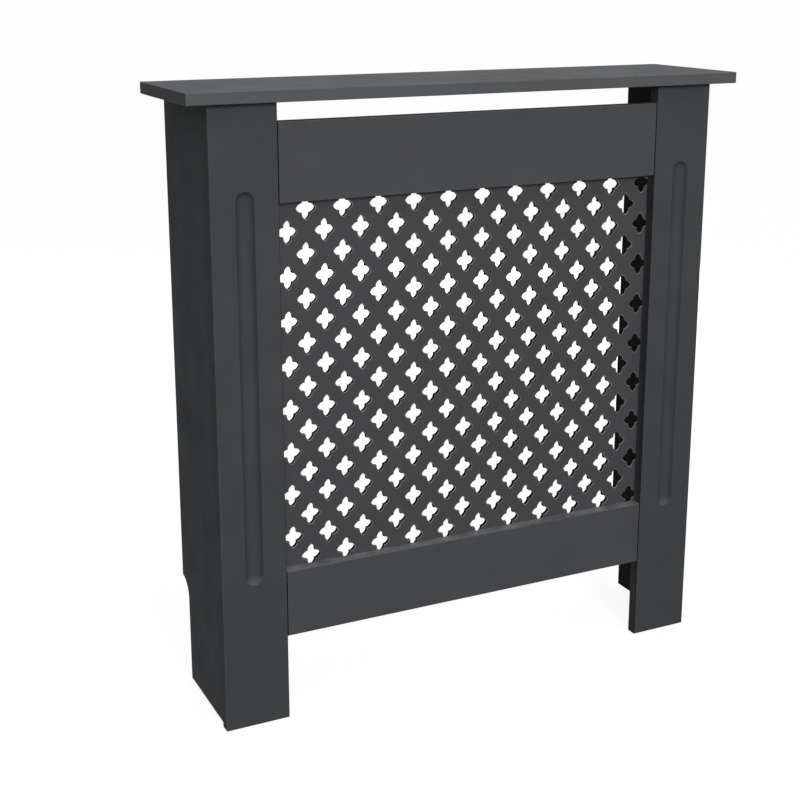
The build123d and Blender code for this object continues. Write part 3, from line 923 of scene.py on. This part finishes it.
# %% Build the tree: close the head below, add the shank and set the copies
underside = put(screwed, "GeometryNodeMeshCircle", {"fill_type": "NGON"}, Vertices=HEAD_STEPS,
                Radius=entry["Head Radius"])
closed = put(screwed, "GeometryNodeMergeByDistance", Distance=5e-6,
             Geometry=join(screwed, underside.outputs["Mesh"], head.outputs["Geometry"]))
shank = put(screwed, "GeometryNodeMeshCylinder", {"fill_type": "NGON"}, Vertices=SHANK_STEPS,
            Radius=entry["Shank Radius"], Depth=entry["Grip"])
shank_placed = put(screwed, "GeometryNodeTransform", Geometry=shank.outputs["Mesh"],
                   Translation=vector_of(screwed, z=calc(screwed, "MULTIPLY", entry["Grip"], 0.5)))
screw = join(screwed, shank_placed.outputs["Geometry"], closed.outputs["Geometry"])
end_tree(screwed, leave, copies_at(screwed, entry["Places"], screw), entry["Finish"])

# %% Drive the screws
BRACKET_STEEL = 2.0 * MM
bracket_low, bracket_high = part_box("right_wall_bracket")
seat = bracket_high.x - BRACKET_STEEL
screw_boxes = loose_boxes("bracket_screws")
hands = [1 if low.x > 0 else -1 for low, high in screw_boxes]
screw_places = [(hand * seat, (low.y + high.y) / 2, (low.z + high.z) / 2)
                for hand, (low, high) in zip(hands, screw_boxes)]
screw_points = turned_points("screw_points", screw_places,
                             [hand * math.pi / 2 for hand in hands])
screw_low, screw_high = screw_boxes[-1]
screws = run_tree(screwed, points=screw_points, Head_Radius=(screw_high.y - screw_low.y) / 2,
                  Head_Height=seat - screw_low.x, Grip=screw_high.x - seat, Finish=zinc_plate)
print(f"screws: {len(screw_boxes)}, {len(screws.faces)} faces")
finish_piece("pan_head_screws", screws, zinc_plate, "bracket_screws")

# %% [markdown]
# ## Brackets and cams
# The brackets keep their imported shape, with the sheared edges broken. The cams are
# dressed the same way, at the scale of a casting, so that the cross in each face
# catches the light. Each cam rides on its own body and turns with it.

# %% Dress the brackets and the cams
BRACKET_EASE = 0.18 * MM
CAM_EASE = 0.1 * MM


def every_edge(edge):
    return True


for hand in ("left", "right"):
    node = f"{hand}_wall_bracket"
    shape = merged_copy(node)
    eased = ease_edges(shape, every_edge, BRACKET_EASE, rounds=2)
    finish_piece(f"{node}_eased", shape, zinc_plate, node)
    print(f"{node}: {eased} edges eased")
    node = f"{hand}_top_cam"
    shape = merged_copy(node)
    eased = ease_edges(shape, every_edge, CAM_EASE, rounds=1)
    finish_piece(f"{node}_eased", shape, cast_zinc, node, body=node)
    print(f"{node}: {eased} edges eased")

# %% Finish the parts that the joints hide
HIDDEN_FINISHES = {
    "top_cam_bolts": zinc_plate,
    "top_dowels": beech,
    "rail_tongues": bare_board,
    "left_side_tongue": bare_board,
    "right_side_tongue": bare_board,
}
for node, material in HIDDEN_FINISHES.items():
    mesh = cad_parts[node].data
    mesh.materials.clear()
    mesh.materials.append(material)
    print(f"{node}: {material.name}")

# %% [markdown]
# ## Floor and light
# The photograph is a cut-out on white. Here the cabinet stands on a wide floor of pale
# paper. What the camera sees of it is lifted almost to white, so that the background
# reads as paper while a soft shadow stays; what the cabinet gets from it is a weak
# bounce, which keeps the inside as dark as it is in the photograph. The room is a sky
# that is bright overhead and dim at the horizon, as in a studio under a large ceiling
# light, with one soft box above and in front. A low one stands behind and to the right,
# below the height of the top: it shows the fixings from the back, and nothing in front.
# Metal doesn't mirror that one, because its image would burn out the brackets.

# %% Helpers for the floor and the room
WHITE = (1.0, 1.0, 1.0, 1.0)


def empty_tree(holder):
    """The node tree of a material or a world, with nothing in it."""
    holder.use_nodes = True
    holder.node_tree.nodes.clear()
    return holder.node_tree


def in_picture(tree):
    """1 for a ray that makes the picture, direct or mirrored, and 0 for one that lights."""
    ray = put(tree, "ShaderNodeLightPath").outputs
    mirrored = calc(tree, "MAXIMUM", ray["Is Glossy Ray"], ray["Is Transmission Ray"])
    return calc(tree, "MAXIMUM", ray["Is Camera Ray"], mirrored)


def mix_shaders(tree, factor, first, second):
    """The first shader where the factor is 0, the second where it is 1."""
    node = put(tree, "ShaderNodeMixShader", Fac=factor)
    tree.links.new(first, node.inputs[1])
    tree.links.new(second, node.inputs[2])
    return node.outputs["Shader"]


# %% Lay the floor
FLOOR_REACH = 120.0  # metres, each way
BOUNCE = (0.05, 0.05, 0.05, 1.0)
PAPER = (0.97, 0.97, 0.97, 1.0)
PAPER_GLOW = 1.05
LIFT = 0.85  # the glow's share of what the camera sees; the rest is shaded paper

floor_mesh = bpy.data.meshes.new("floor")
floor_mesh.from_pydata(
    [(-FLOOR_REACH, -FLOOR_REACH, 0), (FLOOR_REACH, -FLOOR_REACH, 0),
     (FLOOR_REACH, FLOOR_REACH, 0), (-FLOOR_REACH, FLOOR_REACH, 0)], [], [(0, 1, 2, 3)])
floor = bpy.data.objects.new("floor", floor_mesh)
bpy.context.scene.collection.objects.link(floor)
paper = bpy.data.materials.new("paper_floor")
tree = empty_tree(paper)
bounce = put(tree, "ShaderNodeBsdfDiffuse", Color=BOUNCE).outputs["BSDF"]
shaded = put(tree, "ShaderNodeBsdfDiffuse", Color=PAPER).outputs["BSDF"]
glow = put(tree, "ShaderNodeEmission", Color=WHITE, Strength=PAPER_GLOW).outputs["Emission"]
lifted = mix_shaders(tree, LIFT, shaded, glow)
put(tree, "ShaderNodeOutputMaterial", Surface=mix_shaders(tree, in_picture(tree), bounce, lifted))
floor_mesh.materials.append(paper)

# %% Light the room
CEILING_FROM = 0.45  # the sine of the height above the horizon where the light begins
HORIZON_GLOW = 0.1
OVERHEAD_GLOW = 1.25

world = bpy.data.worlds.new("studio")
bpy.context.scene.world = world
tree = empty_tree(world)
direction = put(tree, "ShaderNodeTexCoord").outputs["Generated"]
upward = put(tree, "ShaderNodeSeparateXYZ", Vector=direction).outputs["Z"]
glow = put(tree, "ShaderNodeMapRange", {"interpolation_type": "SMOOTHSTEP"}, Value=upward,
           From_Min=CEILING_FROM, From_Max=1.0, To_Min=HORIZON_GLOW, To_Max=OVERHEAD_GLOW)
room = put(tree, "ShaderNodeBackground", Color=WHITE, Strength=glow.outputs["Result"])
backdrop = put(tree, "ShaderNodeBackground", Color=WHITE, Strength=1.0)
put(tree, "ShaderNodeOutputWorld",
    Surface=mix_shaders(tree, in_picture(tree), room.outputs[0], backdrop.outputs[0]))

# %% Set up the two soft boxes
CABINET_MIDDLE = Vector((0.0, 0.0, 0.4))


def soft_box(name, place, size, power, mirrored):
    """A lamp with a broad face, aimed at the middle of the cabinet."""
    lamp = bpy.data.lights.new(name, "AREA")
    lamp.shape = "RECTANGLE"
    lamp.size, lamp.size_y = size
    lamp.energy = power
    holder = bpy.data.objects.new(name, lamp)
    holder.location = place
    aim = CABINET_MIDDLE - Vector(place)
    holder.rotation_euler = aim.to_track_quat("-Z", "Y").to_euler()
    holder.visible_glossy = mirrored
    bpy.context.scene.collection.objects.link(holder)
    print(f"{name}: {power:.0f} W, {aim.length:.1f} m away")


soft_box("front_box", (-0.3, -3.2, 1.6), size=(0.7, 1.0), power=78.0, mirrored=True)
soft_box("back_box", (1.5, 2.4, 0.42), size=(2.0, 0.7), power=66.0, mirrored=False)
bpy.context.scene.view_settings.view_transform = "Standard"
